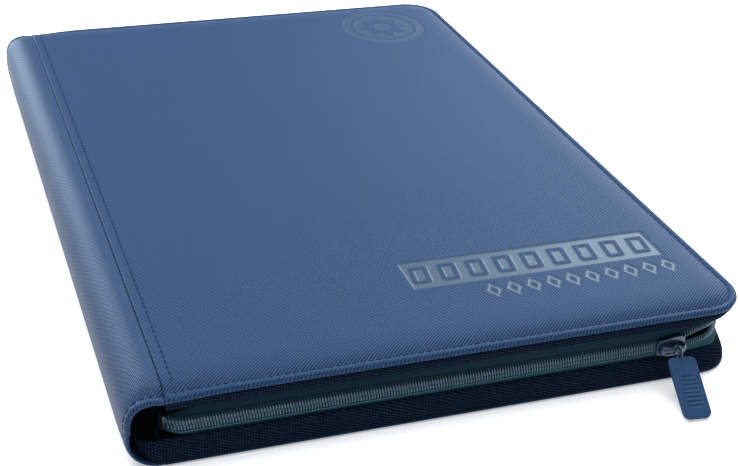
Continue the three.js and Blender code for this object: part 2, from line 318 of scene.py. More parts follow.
def leatherette(name, colour, dark, light, stamped=False, shine=0.1):
    """Imitation leather with a fine diagonal twill grain. Where it is stamped it is smooth, and its colour is
    painted paler and greyer as a painted reflection of the light on the smooth pressing.
    """
    n = Nodes(name)
    place = n.place()
    grain = bands(n, n.turned(place, 51), 0.98, "X", 0.7)
    cross = bands(n, n.turned(place, -30), 1.7, "X", 1.5)
    knots = n.maths("MULTIPLY", grain, n.range(cross, 0.55, 1.0))
    pores = n.noise(place, 2.4, 3.0, 0.6)
    cloud = n.noise(n.scaled(place, (0.02, 0.02, 0.02)), 1.0, 2.0)
    height = n.maths("ADD", knots, n.range(pores, 0.0, 0.35))
    base = n.mix(n.range(cloud, 0.15, 0.85), colour, light)
    shade = n.mix(knots, dark, base)
    gloss = n.range(height, 0.6, 0.44)
    normal = n.bump(height, 0.16)
    if stamped:
        stamp = n.layer("stamp")
        pressed_normal = n.bump(n.noise(place, 1.1, 2.0), 0.02)
        normal = n.mix(stamp, normal, pressed_normal, "VECTOR")
        # A paler, greyer colour where it is pressed: a painted reflection of the light on the smooth
        # pressing.
        shade = n.mix(stamp, shade, (0.038, 0.063, 0.098))
        gloss = n.mix(stamp, gloss, 0.33, "FLOAT")
    return n.set(Base_Color=shade, Roughness=gloss, Normal=normal, Specular_IOR_Level=shine)


def thread(name, colour):
    """Twisted sewing thread."""
    n = Nodes(name)
    place = n.body_place()
    twist = n.wave(n.turned(place, 40), 900.0, "DIAGONAL")
    fuzz = n.noise(place, 1500.0)
    shade = n.mix(n.range(twist, 0.3, 1.0), tuple(0.6 * c for c in colour), colour)
    n.set(Base_Color=shade, Roughness=n.range(fuzz, 0.65, 0.85), Normal=n.bump(twist, 0.06))
    return n.set(Specular_IOR_Level=0.12)


def ribbed_cloth(name, colour, light, pitch):
    """Grosgrain tape: ribs across its width, crossed by flecks of lighter yarn."""
    n = Nodes(name)
    place = n.place()
    ribs = bands(n, place, pitch, "X", 1.6)
    weft = bands(n, n.turned(place, 20), pitch * 1.05, "Y", 3.0)
    yarn = n.noise(n.scaled(place, (0.7, 0.7, 1)), 1.0, 3.0, 0.8)
    fleck = n.maths("MULTIPLY", n.range(ribs, 0.15, 1.0), n.maths("POWER", weft, 1.5))
    tint = n.maths("MULTIPLY", fleck, n.maths("POWER", n.range(yarn, 0.0, 1.9), 2.0))
    height = n.maths("ADD", ribs, n.range(weft, 0.0, 0.8))
    n.set(Base_Color=n.mix(tint, colour, light), Normal=n.bump(height, 0.2))
    return n.set(Roughness=n.range(yarn, 0.7, 0.95), Specular_IOR_Level=0.03)


def herringbone(name, colour, light):
    """Woven zip tape: twill that turns back at intervals, so that it reads as chevrons."""
    n = Nodes(name)
    place = n.place()
    split = n.add("ShaderNodeSeparateXYZ", {"Vector": place})
    folded = n.maths("PINGPONG", split.outputs["Y"], 1.6)
    joined = n.add("ShaderNodeCombineXYZ", {"X": split.outputs["X"], "Y": folded})
    twill = bands(n, n.turned(joined.outputs["Vector"], 45), 0.62)
    yarn = n.noise(place, 3.0, 2.0, 0.6)
    tone = n.maths("MULTIPLY", twill, n.range(yarn, 0.3, 1.0))
    cloth = n.mix(tone, colour, light)
    # Towards its sewn edge the upper tape goes near black: a painted shade for the deep fold under the
    # cover's edge.
    n.set(Base_Color=n.mix(n.layer("painted_fold_shade"), cloth, (0.0006, 0.0012, 0.002)), Normal=n.bump(twill, 0.1))
    return n.set(Roughness=n.range(yarn, 0.65, 0.9), Specular_IOR_Level=0.04)


def nylon(name, colour, light):
    """Glossy drawn nylon with fine scratches."""
    n = Nodes(name)
    place = n.body_place()
    wear = n.noise(place, 180.0)
    scratch = n.noise(n.scaled(place, (1, 1, 6)), 900.0, 2.0)
    n.set(Base_Color=n.mix(n.range(wear, 0.0, 0.9), colour, light), Normal=n.bump(scratch, 0.02))
    return n.set(Roughness=n.range(wear, 0.28, 0.5), Specular_IOR_Level=0.55)


def painted(name, colour, dark):
    """Baked paint on a zinc casting: orange peel and patchy wear; darker in hollows, a painted shade, and
    lighter on sharp edges, a painted highlight.
    """
    n = Nodes(name)
    place = n.body_place()
    peel = n.noise(place, 1400.0, 2.0)
    wear = n.noise(place, 260.0, 4.0, 0.65)
    # Pointiness darkens the paint in hollows, a painted shade, and lightens it on sharp edges, a painted
    # highlight; the wear noise adds patches on top.
    edge = n.add("ShaderNodeNewGeometry").outputs["Pointiness"]
    shade_highlight_and_wear = n.maths("ADD", edge, n.range(wear, -0.08, 0.08))
    n.set(Base_Color=n.mix(shade_highlight_and_wear, dark, colour), Normal=n.bump(peel, 0.03), Metallic=0.35)
    return n.set(Roughness=n.range(wear, 0.24, 0.42), Coat_Weight=0.4, Coat_Roughness=0.2)


def moulded(name, colour, light):
    """Soft moulded plastic with a fine spark-eroded texture."""
    n = Nodes(name)
    place = n.body_place()
    grit = n.noise(place, 2600.0, 2.0, 0.6)
    smear = n.noise(place, 120.0)
    n.set(Base_Color=n.mix(n.range(smear, 0.1, 0.9), colour, light), Normal=n.bump(grit, 0.035))
    return n.set(Roughness=n.range(smear, 0.42, 0.58), Specular_IOR_Level=0.2)


def page_film(name):
    """Black backing under clear pocket film: satin and faintly wavy, matt along the welds."""
    n = Nodes(name)
    place = n.place()
    waves = n.noise(n.scaled(place, (0.06, 0.03, 1)), 1.0)
    grain = n.noise(place, 3.5, 2.0)
    weld = n.layer("weld")
    backing = n.mix(grain, (0.012, 0.013, 0.016), (0.02, 0.021, 0.026))
    matt = n.maths("ADD", n.maths("MULTIPLY", weld, 0.5), n.range(waves, 0, 0.2))
    n.set(Base_Color=n.mix(weld, backing, (0.045, 0.047, 0.055)), Roughness=n.range(matt, 0.42, 0.8))
    n.set(Normal=n.bump(waves, 0.5, 0.6, n.bump(grain, 0.02)))
    return n.set(Specular_IOR_Level=0.25, Coat_Weight=0.06, Coat_Roughness=0.3)


def plain_cloth(name, colour, light):
    """Flat woven lining."""
    n = Nodes(name)
    place = n.scaled(n.body_place(), (1 / MM, 1 / MM, 1 / MM))
    check = n.maths("MULTIPLY", bands(n, place, 0.8, "X"), bands(n, place, 0.8, "Y"))
    yarn = n.noise(place, 0.9)
    n.set(Base_Color=n.mix(yarn, colour, light), Normal=n.bump(check, 0.08))
    return n.set(Roughness=n.range(yarn, 0.75, 0.95), Sheen_Weight=0.1)


def foam_cells(name):
    """Open-cell foam."""
    n = Nodes(name)
    cells = n.add("ShaderNodeTexVoronoi", {"Vector": n.body_place(), "Scale": 1400.0})
    hole = n.range(cells.outputs["Distance"], 0.0, 1.0)
    n.set(Base_Color=n.mix(hole, (0.5, 0.51, 0.52), (0.75, 0.76, 0.77)), Normal=n.bump(hole, 0.3))
    return n.set(Roughness=n.range(hole, 0.85, 1.0))


def grey_board(name):
    """Recycled board with its fibres along one way."""
    n = Nodes(name)
    place = n.body_place()
    fibre = n.noise(n.scaled(place, (1, 5, 1)), 220.0, 5.0, 0.7)
    fleck = n.noise(place, 900.0, 2.0)
    n.set(Base_Color=n.mix(fibre, (0.30, 0.27, 0.22), (0.47, 0.43, 0.36)), Normal=n.bump(fibre, 0.05))
    return n.set(Roughness=n.range(fleck, 0.8, 0.95))


BLUES = ((0.0172, 0.0545, 0.138), (0.0036, 0.0165, 0.047), (0.0215, 0.0635, 0.155))
cover_leather = leatherette("cover leather", *BLUES, stamped=True)
rear_leather = leatherette("rear cover leather", *BLUES)
spine_leather = leatherette("spine leather", *BLUES, shine=0.15)
cover_thread = thread("cover thread", (0.005, 0.020, 0.065))
tape_thread = thread("zip tape thread", (0.10, 0.17, 0.22))
dark_thread = thread("dark zip thread", (0.02, 0.04, 0.06))
ribbed_navy = ribbed_cloth("ribbed navy tape", (0.0012, 0.0030, 0.0068), (0.012, 0.030, 0.070), 1.1)
zip_weave = herringbone("zip tape weave", (0.0025, 0.011, 0.018), (0.012, 0.040, 0.058))
# The lower tape is the upper tape's cloth with colours about three times lighter: painted light, so that the
# wall under the chain looks lit.
low_weave_painted_lighter = herringbone("lower zip tape weave painted lighter", (0.008, 0.034, 0.052), (0.028, 0.090, 0.125))
coil_nylon = nylon("zip coil nylon", (0.028, 0.068, 0.102), (0.075, 0.15, 0.21))
stop_paint = painted("dark zip stop paint", (0.003, 0.009, 0.018), (0.001, 0.004, 0.008))
zip_paint = painted("blue zip paint", (0.012, 0.042, 0.095), (0.004, 0.014, 0.034))
tab_plastic = moulded("pull tab plastic", (0.0070, 0.029, 0.086), (0.0135, 0.045, 0.110))
film = page_film("page film")
lining_cloth = plain_cloth("lining cloth", (0.006, 0.008, 0.014), (0.018, 0.022, 0.035))
foam = foam_cells("open cell foam")
board = grey_board("grey board")

# ---- covers ----

ROUNDED = 4  # decimals of a millimetre to which places are compared


def distinct(values):
    """The values in order, each one once."""
    return np.unique(np.round(values, ROUNDED))


def near_lines(low, high, step, extra):
    """Even sample lines from low to high, with finer stretches (low, high, step) in them."""
    lines = list(np.arange(low, high, step))
    for a, b, fine in extra:
        lines = [v for v in lines if v < a - 0.4 * fine or v > b + 0.4 * fine]
        lines += list(np.arange(a, b + fine / 2, fine))
    return distinct([low] + [v for v in lines if low + 0.2 < v < high - 0.2] + [high])


def cover_plan(xs, ys, ds):
    """Points (x, y, inset) and quads over a cover's plan, with rings that follow its outline."""
    gx, gy = np.meshgrid(xs, ys, indexing="ij")
    patches = [(gx, gy, np.minimum(np.minimum(EDGE - gx, gy - NEAR), FAR - gy))]
    gx, gd = np.meshgrid(xs, ds, indexing="ij")
    patches += [(gx, NEAR + gd, gd), (gx, FAR - gd, gd)]
    gy, gd = np.meshgrid(ys, ds, indexing="ij")
    patches.append((EDGE - gd, gy, gd))
    angle, gd = np.meshgrid(np.linspace(0, math.pi / 2, 15), ds, indexing="ij")
    x = EDGE - CORNER + (CORNER - gd) * np.cos(angle)
    y = FAR - CORNER + (CORNER - gd) * np.sin(angle)
    patches += [(x, y, gd), (x, -y, gd)]
    return join_parts([(np.stack(p, -1).reshape(-1, 3), grid_faces(*p[0].shape)) for p in patches])


def merged(points, faces):
    """Where points coincide one is kept, and faces that collapse are dropped."""
    _, first, index = np.unique(np.round(points, ROUNDED), axis=0, return_index=True, return_inverse=True)
    index = index.reshape(-1)
    kept = []
    for face in faces:
        ring = []
        for corner in index[list(face)]:
            if not ring or ring[-1] != corner:
                ring.append(int(corner))
        if ring[0] == ring[-1]:
            ring.pop()
        if len(set(ring)) == len(ring) and len(ring) > 2:
            kept.append(tuple(ring))
    return first, kept


def curve(value, knots):
    """Height at a place on the smooth curve through (place, height) knots, level at both ends."""
    at, height = np.array(knots, float).T
    slope = np.gradient(height, at)
    slope[0] = slope[-1] = 0
    value = np.clip(value, at[0], at[-1])
    i = np.clip(np.searchsorted(at, value) - 1, 0, len(at) - 2)
    span = at[i + 1] - at[i]
    t = (value - at[i]) / span
    h00, h10 = 2 * t**3 - 3 * t**2 + 1, t**3 - 2 * t**2 + t
    h01, h11 = -2 * t**3 + 3 * t**2, t**3 - t**2
    return h00 * height[i] + h10 * span * slope[i] + h01 * height[i + 1] + h11 * span * slope[i + 1]


RIM_STITCH = 3.2  # the stitch line's inset from the cover's edge
SEAM_STITCH = 4.2  # and from the folded edge beside the spine
FRONT_RIM, REAR_RIM = TOP - 3.6, 0.95  # middle heights of the two rolled rims
FRONT_ROLL, REAR_ROLL = 1.5, 1.2  # and how far in they reach
SAG = 26  # how far from the seam the front cover's hanging corners reach


def half_ellipse(inset, half_height, half_width):
    """Half the height of a rolled rim at an inset from its outer edge."""
    across = 1 - np.clip(inset, 0, half_width) / half_width
    return half_height * np.sqrt(np.clip(1 - across**2, 0, 1))


def crown(inset):
    """Height of the padded front face, by inset from its outer edge."""
    below = [(FRONT_ROLL, 2.15), (2.3, 2.28), (RIM_STITCH, 2.62), (4.2, 2.15)]
    below += [(6.5, 1.2), (9.5, 0.6), (13.5, 0.2), (CORNER, 0.05)]
    return curve(inset, [(place, TOP - low) for place, low in below])


def fold_edge(fold, inset):
    """The folded edge beside the spine: a crisp lip, and the shallow groove of its stitches."""
    lip = [(0, -0.85), (0.2, -0.35), (0.6, -0.06), (1.1, 0.04)]
    groove = [(2.8, 0.0), (SEAM_STITCH, -0.16), (5.6, 0.0)]
    return curve(fold, lip + groove) * smoothstep(inset, 0.0, 1.2)


def front_top(inset, fold):
    """Height of the front cover's outer face. Its corners beside the spine hang down a little."""
    rim = FRONT_RIM + half_ellipse(inset, 1.45, FRONT_ROLL)
    high = np.where(inset < FRONT_ROLL, rim, crown(inset))
    droop = 0.35 + 0.65 * smoothstep(inset, 2.8, 1.2)
    droop = droop * smoothstep(inset, 7.5, 3.0) * smoothstep(fold, SAG, 0)
    return high + fold_edge(fold, inset) - droop


def front_under(inset, fold):
    """Height of its inner face: the roll's underside, then a step up to the board."""
    rim = FRONT_RIM - half_ellipse(inset, 1.5, FRONT_ROLL)
    droop = smoothstep(fold, SAG, 0)
    step = (0.72 + droop) * smoothstep(inset, FRONT_ROLL, 1.85)
    return np.where(inset < FRONT_ROLL, rim, FRONT_RIM - 1.5 + step) - droop


def rear_under(inset, fold):
    """Height of the rear cover's outer face, on which the binder lies."""
    knots = [(REAR_ROLL, 0.35), (2.2, 0.42), (RIM_STITCH, 0.75), (4.4, 0.42)]
    knots += [(8, 0.15), (12, 0.03), (CORNER, 0.0)]
    rim = REAR_RIM - half_ellipse(inset, 0.6, REAR_ROLL)
    return np.where(inset < REAR_ROLL, rim, curve(inset, knots)) - fold_edge(fold, inset)


def rear_top(inset, _):
    """Height of its inner face: the roll's top, then a step up to the board."""
    rim = REAR_RIM + half_ellipse(inset, 0.6, REAR_ROLL)
    return np.where(inset < REAR_ROLL, rim, 1.55 + 2.85 * smoothstep(inset, 1.25, 2.4))


# Plain pressed decoration: a sunk bar with raised blank cards, a row of lozenges and a ringed disc.
BAR = (BACK + 127.5, BACK + 241.5, NEAR + 41.3, NEAR + 61.0)  # low x, high x, low y, high y
LOWER_BAR = (BACK + 155, BACK + 244, NEAR + 26.5, NEAR + 40.0)
DISC = (86.5, 136.0, 24.0)  # x, y and radius
PRESSED = 0.4  # depth of the pressing


def box_distance(x, y, bounds, radius):
    """Distance outside a rectangle with rounded corners, less than 0 inside it."""
    x0, x1, y0, y1 = bounds
    dx = np.abs(x - (x0 + x1) / 2) - (x1 - x0) / 2 + radius
    dy = np.abs(y - (y0 + y1) / 2) - (y1 - y0) / 2 + radius
    outside = np.hypot(np.maximum(dx, 0), np.maximum(dy, 0))
    return outside + np.minimum(np.maximum(dx, dy), 0) - radius


def inside(distance):
    """1 where a distance is under 0 and 0 where it is over 0, with a soft edge."""
    return 1 - smoothstep(distance, -0.25, 0.25)


def row_places(bounds, count):
    """The middles of a row of shapes spread evenly over a bar."""
    x0, x1, y0, y1 = bounds
    return [(x0 + (i + 0.5) * (x1 - x0) / count, (y0 + y1) / 2) for i in range(count)]


def stamp_mask(x, y):
    """1 where the cover is pressed smooth, 0 where its grain stands."""
    raised, lower = np.zeros_like(x), np.zeros_like(x)
    for cx, cy in row_places(BAR, 9):
        leaning = x - 0.14 * (y - cy)
        card = box_distance(leaning, y, (cx - 4.0, cx + 4.0, cy - 6.2, cy + 6.2), 1.2)
        core = box_distance(leaning, y, (cx - 2.1, cx + 2.1, cy - 4.2, cy + 4.2), 0.6)
        raised = np.maximum(raised, inside(card) - inside(core))
    upper = inside(box_distance(x, y, BAR, 0.8)) * (1 - raised)
    for cx, cy in row_places(LOWER_BAR, 10):
        reach = np.abs(x - cx) / 3.6 + np.abs(y - cy) / 5.6
        lower = np.maximum(lower, inside((reach - 1) * 3.0) - inside((reach - 0.42) * 3.0))
    away = np.hypot(x - DISC[0], y - DISC[1])
    disc = inside(away - DISC[2]) * (1 - inside(np.abs(away - 18.6) - 0.9))
    spokes = np.cos(8 * np.arctan2(y - DISC[1], x - DISC[0]))
    star = inside(away - 12.0 - 1.9 * spokes) * (1 - inside(away - 5.2))
    disc = disc * (1 - star)
    return np.clip(np.maximum(np.maximum(upper, lower), 0.5 * disc), 0, 1)


def cover_piece(name, body, node, outer, inner, material, extra_x, extra_y, stamped):
    """A closed padded cover: outer and inner faces on one plan, joined at the rim and the seam."""
    rim = list(FRONT_ROLL * (1 - np.cos(np.linspace(0, math.pi / 2, 8))))
    pad = [1.9, 2.3, 2.7, 3.0, 3.2, 3.5, 3.9, 4.4, 5.2, 6.2, 7.2, 8.4, 9.6, 11, 12.4, 13.6, 14.6, 15.6, 16.8]
    ds = distinct(rim + pad + [CORNER])
    beside = [0, 0.15, 0.35, 0.6, 1.0, 1.6, 2.4, 3.2, 3.8, 4.2, 4.7, 5.3, 6.2, 7.4, 9.0]
    rest = near_lines(SEAM + 11, EDGE - CORNER, 3.0, extra_x)
    xs = distinct(np.concatenate([SEAM + np.array(beside), rest]))
    ys = near_lines(-(FAR - CORNER), FAR - CORNER, 3.2, extra_y)
    plan, quads = cover_plan(xs, ys, ds)
    x, y, inset = plan.T
    fold = x - SEAM
    high = outer(inset, fold)
    mask = np.zeros_like(x)
    if stamped:
        mask = stamp_mask(x, y)
        swell = 0.10 * np.sin(x / 31 + 0.6) * np.sin(y / 43 + 1.1) * smoothstep(inset, 8, 30)
        high = high - PRESSED * mask + swell
    low = inner(inset, fold)
    both = np.concatenate([np.stack([x, y, high], -1), np.stack([x, y, low], -1)])
    total = len(plan)
    faces = quads + [tuple(v + total for v in reversed(quad)) for quad in quads]
    at_seam = {}
    for i in np.flatnonzero(np.abs(x - SEAM) < 1e-4):
        at_seam.setdefault(round(float(y[i]), ROUNDED), int(i))
    chain = [at_seam[place] for place in sorted(at_seam)]
    faces += [(a, b, b + total, a + total) for a, b in zip(chain, chain[1:])]
    first, kept = merged(both, faces)
    piece = mesh_piece(name, both[first], kept, material, body, both[first, :2])
    point_values(piece, "stamp", np.concatenate([mask, np.zeros_like(mask)])[first])
    sharpen(piece, 62)
    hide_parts(node)


fine_x = [(BAR[0] - 1, EDGE - CORNER, 0.5)]
fine_y = [(LOWER_BAR[2] - 1, BAR[3] + 1, 0.5), (DISC[1] - DISC[2] - 1, FAR - CORNER, 0.5)]
front = ("front_cover_padded", "front_cover", "front_cover_skin", front_top, front_under)
cover_piece(*front, cover_leather, fine_x, fine_y, stamped=True)
rear = ("rear_cover_padded", "rear_cover", "rear_cover_skin", rear_under, rear_top)
cover_piece(*rear, rear_leather, [], [], stamped=False)

# ---- stitches ----


def capsule():
    """A rounded rod from -1 to 1 along X with radius 1 across, as points and faces."""
    sides, rings = 6, 5
    points = [(-1.0, 0.0, 0.0)]
    for r in range(1, rings):
        angle = math.pi * r / rings
        for k in range(sides):
            turn = 2 * math.pi * k / sides
            width = math.sin(angle) ** 0.6
            points.append((-math.cos(angle), width * math.cos(turn), width * math.sin(turn)))
    points.append((1.0, 0.0, 0.0))
    faces = [(0, 1 + (k + 1) % sides, 1 + k) for k in range(sides)]
    for r in range(rings - 2):
        for k in range(sides):
            a, b = 1 + r * sides + k, 1 + r * sides + (k + 1) % sides
            faces.append((a, b, b + sides, a + sides))
    last = len(points) - 1
    base = 1 + (rings - 2) * sides
    faces += [(last, base + k, base + (k + 1) % sides) for k in range(sides)]
    return np.array(points), faces


def stitch_row(places, directions, ups, length, radius, seed=SEED):
    """Points and faces of a row of stitches, each a short thread lying along its direction."""
    rod, rod_faces = capsule()
    rng = np.random.default_rng(seed)
    count = len(places)
    directions = directions / np.linalg.norm(directions, axis=1)[:, None]
    across = np.cross(ups, directions)
    across /= np.linalg.norm(across, axis=1)[:, None]
    ups = np.cross(directions, across)
    skew = rng.uniform(-0.08, 0.08, count)[:, None]
    directions = directions + across * skew
    size = rng.uniform(0.94, 1.06, (count, 1, 1))
    points = places[:, None, :] + size * (
        rod[None, :, 0:1] * directions[:, None, :] * length / 2
        + rod[None, :, 1:2] * across[:, None, :] * radius
        + rod[None, :, 2:3] * ups[:, None, :] * radius * 0.7
    )
    return join_parts([(rod_points, rod_faces) for rod_points in points])


STITCH = 3.3  # from one stitch to the next
STITCH_LENGTH = 2.5


def even_places(length, pitch):
    """The middles of as many whole pitches as fit in a length, spread over it."""
    count = int(length / pitch)
    return (np.arange(count) + 0.5) * length / count


def rim_stitches(name, body, height, up, material):
    """The stitch line inside a cover's rim and the one beside its folded edge."""
    wall = Wall(SEAM + 2.0, RIM_STITCH)
    s = even_places(wall.length, STITCH)
    place, _ = wall.at(s)
    level = height(np.full(len(s), RIM_STITCH), place[:, 0] - SEAM) + up * 0.10
    points = np.concatenate([place, level[:, None]], -1)
    upward = np.array([[0, 0, up]], float)
    first = stitch_row(points, along_directions(wall, s), upward, STITCH_LENGTH, 0.3)
    y = NEAR + 7 + even_places(FAR - NEAR - 14, STITCH)
    beside = np.full(len(y), SEAM_STITCH)
    level = height(np.minimum(y - NEAR, FAR - y), beside) + up * 0.10
    line = np.stack([SEAM + beside, y, level], -1)
    second = stitch_row(line, np.tile([0.0, 1.0, 0.0], (len(y), 1)), upward, STITCH_LENGTH, 0.32, SEED + 1)
    piece = mesh_piece(name, *join_parts([first, second]), material, body)


rim_stitches("front_cover_stitches", "front_cover", front_top, 1, cover_thread)
rim_stitches("rear_cover_stitches", "rear_cover", rear_under, -1, cover_thread)

# ---- spine ----

ROLL = 2.9  # thickness of the rolled rim where it leaves the front cover
SPINE_ENDS = [0, 0.06, 0.2, 0.45, 0.8, 1.15, 1.5, 1.9, 2.3, 2.7, 3.0, 3.2, 3.5, 4.2, 5.2, 6.5]
SPINE_ENDS = np.array(SPINE_ENDS + [8, 9.5, 11.5, 13.5, 18, 24])  # sample lines in from each end


def spine_section():
    """The spine's outer line from the rear seam round to the front seam, as places and outward normals."""
    flat = np.linspace(SEAM - 0.12, BACK + SPINE_R, 6)[:-1]
    places = [(x, 0.0) for x in flat]
    normals = [(0.0, -1.0)] * len(flat)
    for angle in np.radians(np.linspace(-90, -180, 25)):
        out = np.array([math.cos(angle), math.sin(angle)])
        places.append((BACK + SPINE_R + SPINE_R * out[0], SPINE_R + SPINE_R * out[1]))
        normals.append(tuple(out))
    places.append((BACK, TOP / 2))
    normals.append((-1.0, 0.0))
    half = len(places)
    places += [(x, TOP - z) for x, z in places[-2::-1]]
    normals += [(x, -z) for x, z in normals[-2::-1]]
    return np.array(places), np.array(normals), half


def spine_sunk(inset, run, front):
    """How far the spine's skin stands in from its nominal line, and the depth of its lining side."""
    inset, run = np.broadcast_arrays(inset[:, None], run[None, :])
    share = 1 - 0.78 * smoothstep(run, 1.0, 18.0) if front else np.full(run.shape, 0.24)
    pad = (TOP - crown(np.maximum(inset, FRONT_ROLL))) * share
    lip = 0.42 * (1 - smoothstep(run, 0.3, 4.5)) + 0.25 * (1 - smoothstep(run, 0, 1.2))
    roll = ROLL - 0.5 * smoothstep(run, 0, 30) if front else 1.2 + 1.2 * smoothstep(run, 8, 38)
    middle = (TOP - crown(FRONT_ROLL)) * share + roll / 2
    droop = 1.0 * smoothstep(run, 16, 0) * smoothstep(inset, 7.5, 2.0) if front else 0.0
    bulge = half_ellipse(inset, 1, FRONT_ROLL) * roll / 2
    rolled = inset < FRONT_ROLL
    outer = np.where(rolled, middle - bulge, pad)
    inner = middle + bulge
    step = (pad + 1.5 - inner) * smoothstep(inset, FRONT_ROLL, 3.4)
    inner = np.where(rolled, inner, inner + step)
    lip = lip * (1 if front else 0.6) * smoothstep(inset, 0.0, 1.2)
    return outer + lip + droop, np.maximum(inner, outer + 0.02) + lip + droop


def spine_half(name, front):
    """The front or rear half of the spine's skin, with its stitches, from a seam to the middle."""
    places, normals, half = spine_section()
    keep = slice(half - 1, None) if front else slice(0, half)
    places, normals = places[keep], normals[keep]
    step = np.linalg.norm(np.diff(places, axis=0), axis=1)
    run = np.concatenate([[0], np.cumsum(step)])
    if front:
        run = run[-1] - run
    middle = np.arange(NEAR + 28, FAR - 27, 4.0)
    ys = np.concatenate([NEAR + SPINE_ENDS, middle, (FAR - SPINE_ENDS)[::-1]])
    inset = np.minimum(ys - NEAR, FAR - ys)
    outer_in, inner_in = spine_sunk(inset, run, front)
    run_grid, y_grid = np.broadcast_arrays(run[None, :], ys[:, None])
    sheets = []
    for inward in (outer_in, inner_in):
        x = places[:, 0] - normals[:, 0] * inward
        z = places[:, 1] - normals[:, 1] * inward
        sheets.append(np.stack([x, y_grid, z], -1))
    weave = np.stack([SEAM - run_grid, y_grid], -1)
    skin = mesh_piece(name, *two_sheets(*sheets), spine_leather, None, np.stack([weave, weave]))
    line_inside(skin, inset, *run_grid.shape)
    sharpen(skin, 62)
    level, _ = spine_sunk(np.array([RIM_STITCH]), run, front)
    threads = spine_stitches(name + "_stitches", places, normals, run, level[0])
    return skin, threads


def line_inside(skin, inset, rows, columns):
    """The spine's inner sheet: leather rolled over its ends, then ribbed tape, then lining cloth."""
    skin.data.materials.append(lining_cloth)
    skin.data.materials.append(ribbed_navy)
    quads = (rows - 1) * (columns - 1)
    rims = inset[np.arange(quads) // (columns - 1)]
    slots = np.zeros(len(skin.data.polygons), np.int32)
    slots[quads : 2 * quads] = np.where(rims < 1.4, 0, np.where(rims < 13, 2, 1))
    skin.data.polygons.foreach_set("material_index", slots)


def spine_stitches(name, places, normals, run, level):
    """The rim's stitch line where it goes on round the spine, at both ends."""
    order = np.argsort(run)
    s = even_places(run.max(), STITCH)
    count = len(s)
    along_run = [np.interp(s, run[order], v[order]) for v in (*places.T, *normals.T, level)]
    px, pz, nx, nz, sunk = along_run
    sunk = sunk - 0.1
    points, along, ups = [], [], []
    for side in (NEAR + RIM_STITCH, FAR - RIM_STITCH):
        points.append(np.stack([px - nx * sunk, np.full(count, side), pz - nz * sunk], -1))
        along.append(np.stack([-nz, np.zeros(count), nx], -1))
        ups.append(np.stack([nx, np.zeros(count), nz], -1))
    rows = [np.concatenate(part) for part in (points, along, ups)]
    return mesh_piece(name, *stitch_row(*rows, STITCH_LENGTH, 0.3, SEED + 2), cover_thread)


# Two bodies, and the two places between which what joins them bends.
REAR_FOLD = ("rear_cover", "spine", (SEAM * MM, 0, 0), (BACK * MM, 0, SPINE_R * MM))
FRONT_FOLD = ("spine", "front_cover", (BACK * MM, 0, (TOP - SPINE_R) * MM), (SEAM * MM, 0, TOP * MM))


def folded(piece, fold, slot_name):
    """A soft piece, its place baked into its points."""
    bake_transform(piece)


for piece_name, is_front, fold, covered in (
    ("spine_skin_rear", False, REAR_FOLD, ["rear_spine_fold"]),
    ("spine_skin_front", True, FRONT_FOLD, ["front_spine_fold", "spine_panel"]),
):
    skin, threads = spine_half(piece_name, is_front)
    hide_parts(*covered)
    folded(skin, fold, "cover_leather")
    folded(threads, fold, "cover_leather")

# ---- side walls: ribbed tapes and zip tapes ----

RIB = 1.1  # from one rib of the edge tapes to the next
GUSSET_TOP = 11.5
ZIP = Wall(SEAM - 0.9)
TUCKED = 8.5  # length over which the zip's ends turn in


def corner_pull(s, wall):
    """1 in the middle of each rounded corner, 0 along the straights: the zip cuts the corners."""
    reach = wall.arc / 2 + 11
    total = 0
    for middle in (wall.run + wall.arc / 2, wall.run + wall.arc * 1.5 + wall.side):
        across = np.clip((s - middle) / reach, -1, 1)
        total = total + (1 - across**2) ** 2
    return total


def tuck(s):
    """The zip's two ends turn in towards the pages beside the spine."""
    to_end = np.minimum(s, ZIP.length - s)
    return 5.6 * (np.clip(TUCKED - to_end, 0, None) / TUCKED) ** 2


def zip_recess(s):
    """How far the zip stands in from its line along the covers' edges."""
    return tuck(s) + 4.3 * corner_pull(s, ZIP)


def lift(s, upper):
    """How far each side of the zip stands above its closed height. Past the slider they part."""
    start = SLIDER_X + 0.6 - ZIP.start
    corner = ZIP.run + ZIP.arc
    peak, rest = (4.3, 2.0) if upper else (0.4, -1.0)
    rise = 1 - (1 - np.clip((s - start) / 16.0, 0, 1)) ** 2
    return rise * (rest + (peak - rest) * smoothstep(s, corner + 55, corner + 5))


def wall_strip(name, body, node, section, lean):
    """A grosgrain strip along the wall. lean(s, wall, height) is how far it leans in.

    Each point of its section is (depth, height, share of the ribs' height).
    """
    wall = Wall(SEAM + 0.3)
    s = np.linspace(0, wall.length, int(wall.length / 0.275) + 1)[:, None]
    depth, height, share = np.array(section, float).T
    wave = 0.5 + 0.5 * np.cos(2 * math.pi * s / RIB)
    depth = depth - 0.2 * share * wave + lean(s, wall, height)
    flat, faces = sweep(along_wall(wall, s, depth, height))
    weave = np.stack(np.broadcast_arrays(s, height), -1)
    piece = mesh_piece(name, flat, faces, ribbed_navy, body, weave)
    sharpen(piece)
    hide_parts(node)


def front_lean(s, wall, height):
    """The front strip's lower edge is drawn in at the corners."""
    return corner_pull(s, wall) * 1.6 * smoothstep(height, 28.8, 25.5)


def rear_lean(s, wall, height):
    """So is the rear strip's upper edge."""
    return corner_pull(s, wall) * (0.3 + 3.7 * smoothstep(height, 1.5, 11.0))


